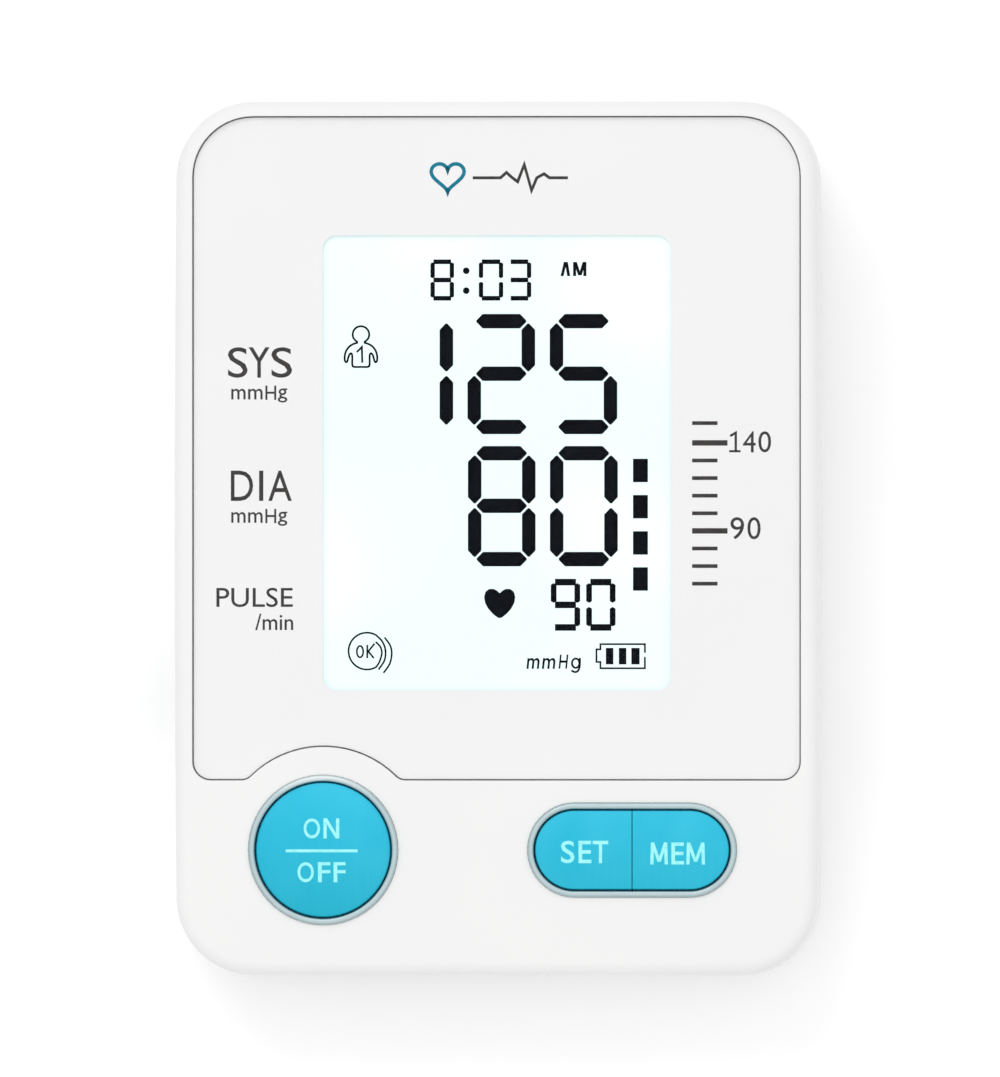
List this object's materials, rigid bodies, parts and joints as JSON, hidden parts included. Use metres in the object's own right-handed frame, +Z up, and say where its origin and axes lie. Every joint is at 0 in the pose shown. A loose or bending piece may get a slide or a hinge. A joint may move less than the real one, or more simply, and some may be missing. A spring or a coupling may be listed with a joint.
{
  "type": "upper arm blood pressure monitor",
  "caption": "Wedge-shaped desktop blood pressure monitor: large backlit display under a clear lens, round power key, split pill key, side air port, battery bay below.",
  "frame": {"origin": "centre of the bounding box in plan, at the height the rubber feet stand on", "axes": "+X to the user's right, +Y toward the display's top edge (away from the user), +Z up"},
  "size_m": [0.098, 0.1356, 0.0469],
  "materials": {
    "cover_white": "satin white ABS with a very fine spark texture",
    "case_white": "satin white ABS, slightly coarser texture than the cover",
    "lens_clear": "clear polished acrylic",
    "print_grey": "very light grey ink film printed behind the lens",
    "adhesive_dark": "die-cut dark grey foam tape",
    "lcd_glass": "polished display glass, pale cyan when backlit",
    "lcd_frame": "white moulded frame",
    "light_guide": "milky acrylic light guide",
    "zebra": "striped conductive elastomer",
    "led_white": "moulded LED packages",
    "board_green": "glass-epoxy board with green solder mask",
    "chip_black": "black epoxy package with tinned legs",
    "capacitor": "aluminium cans and ceramic chips",
    "buzzer_black": "black moulded sounder",
    "sensor_black": "black moulded sensor with one port",
    "connector_cream": "cream nylon headers",
    "switch_body": "tact switch can",
    "switch_stem": "black switch plunger",
    "key_blue": "gloss cyan-blue moulding, light printed legend",
    "ring_silver": "silver-grey painted trim",
    "motor_steel": "zinc-plated steel can",
    "shaft_steel": "ground steel",
    "pump_acetal": "white acetal",
    "pump_grey": "grey glass-filled nylon",
    "rubber_black": "moulded rubber",
    "foam_dark": "dark foam band",
    "valve_black": "black nylon",
    "valve_steel": "zinc-plated steel yoke",
    "coil_copper": "enamelled copper winding",
    "manifold_clear": "natural polycarbonate",
    "silicone": "translucent silicone tube",
    "socket_grey": "light grey acetal, slightly polished",
    "socket_steel": "bright nickel-plated shell",
    "cell_jacket": "printed film jacket on a plated can",
    "contact_steel": "nickel-plated spring steel",
    "door_white": "satin white ABS, same texture as the lower case",
    "foot_rubber": "dark grey soft rubber",
    "screw_steel": "zinc-plated self-tapping screws"
  },
  "bodies": {
    "housing": {"top_cover": "cover_white", "bottom_case": "case_white", "front_lens": "lens_clear", "panel_print": "print_grey", "lens_adhesive": "adhesive_dark", "lcd_glass": "lcd_glass", "lcd_frame": "lcd_frame", "lcd_light_guide": "light_guide", "zebra_strip": "zebra", "backlight_leds": "led_white", "main_board": "board_green", "controller_chip": "chip_black", "board_capacitors": "capacitor", "buzzer": "buzzer_black", "pressure_sensor": "sensor_black", "board_connectors": "connector_cream", "power_switch_body": "switch_body", "set_switch_body": "switch_body", "mem_switch_body": "switch_body", "power_button_ring": "ring_silver", "key_ring": "ring_silver", "pump_motor": "motor_steel", "pump_housing": "pump_grey", "pump_diaphragm": "rubber_black", "pump_head": "pump_acetal", "pump_cushion": "foam_dark", "valve_nozzle": "valve_black", "valve_frame": "valve_steel", "valve_coil": "coil_copper", "valve_spring": "shaft_steel", "air_manifold": "manifold_clear", "pump_tube": "silicone", "port_tube": "silicone", "valve_tube": "silicone", "sensor_tube": "silicone", "air_socket": "socket_grey", "power_socket": "socket_steel", "power_socket_tongue": "chip_black", "power_socket_board": "board_green", "battery_1": "cell_jacket", "battery_2": "cell_jacket", "battery_3": "cell_jacket", "battery_4": "cell_jacket", "battery_springs": "contact_steel", "battery_plates": "contact_steel", "rubber_feet": "foot_rubber", "case_screws": "screw_steel", "board_screws": "screw_steel"},
    "power_button_key": {"power_button": "key_blue"},
    "set_button_key": {"set_button": "key_blue"},
    "mem_button_key": {"mem_button": "key_blue"},
    "power_switch_plunger": {"power_switch_stem": "switch_stem"},
    "set_switch_plunger": {"set_switch_stem": "switch_stem"},
    "mem_switch_plunger": {"mem_switch_stem": "switch_stem"},
    "battery_cover": {"battery_door": "door_white"},
    "pump_rotor": {"pump_shaft": "shaft_steel", "pump_eccentric": "pump_acetal"},
    "valve_armature": {"valve_plunger": "shaft_steel"}
  },
  "joints": [
    {"name": "power_button_press", "type": "slide", "parent": "housing", "child": "power_button_key", "axis": [0, 0.1392, -0.9903], "range_m": [0, 0.0005], "stiffness_N_per_m": 600, "springref_m": -0.001},
    {"name": "power_switch_press", "type": "slide", "parent": "housing", "child": "power_switch_plunger", "axis": [0, 0.1392, -0.9903], "range_m": [0, 0.0005]},
    {"name": "set_button_press", "type": "slide", "parent": "housing", "child": "set_button_key", "axis": [0, 0.1392, -0.9903], "range_m": [0, 0.0005], "stiffness_N_per_m": 600, "springref_m": -0.001},
    {"name": "set_switch_press", "type": "slide", "parent": "housing", "child": "set_switch_plunger", "axis": [0, 0.1392, -0.9903], "range_m": [0, 0.0005]},
    {"name": "mem_button_press", "type": "slide", "parent": "housing", "child": "mem_button_key", "axis": [0, 0.1392, -0.9903], "range_m": [0, 0.0005], "stiffness_N_per_m": 600, "springref_m": -0.001},
    {"name": "mem_switch_press", "type": "slide", "parent": "housing", "child": "mem_switch_plunger", "axis": [0, 0.1392, -0.9903], "range_m": [0, 0.0005]},
    {"name": "battery_door_hinge", "type": "hinge", "parent": "housing", "child": "battery_cover", "pos_m": [0.013, -0.007, 0.0027], "axis": [-1, 0, 0], "range_deg": [0, 75]},
    {"name": "pump_spin", "type": "hinge", "parent": "housing", "child": "pump_rotor", "pos_m": [-0.0315, 0.012, 0.0149], "axis": [0, 1, 0], "continuous": true},
    {"name": "valve_stroke", "type": "slide", "parent": "housing", "child": "valve_armature", "axis": [0, 0, -1], "range_m": [0, 0.0008], "stiffness_N_per_m": 150, "springref_m": -0.002, "deforming": ["valve_spring"]}
  ],
  "couplings": [
    {"joint": "power_switch_press", "follows": "power_button_press", "ratio": 1},
    {"joint": "set_switch_press", "follows": "set_button_press", "ratio": 1},
    {"joint": "mem_switch_press", "follows": "mem_button_press", "ratio": 1}
  ]
}
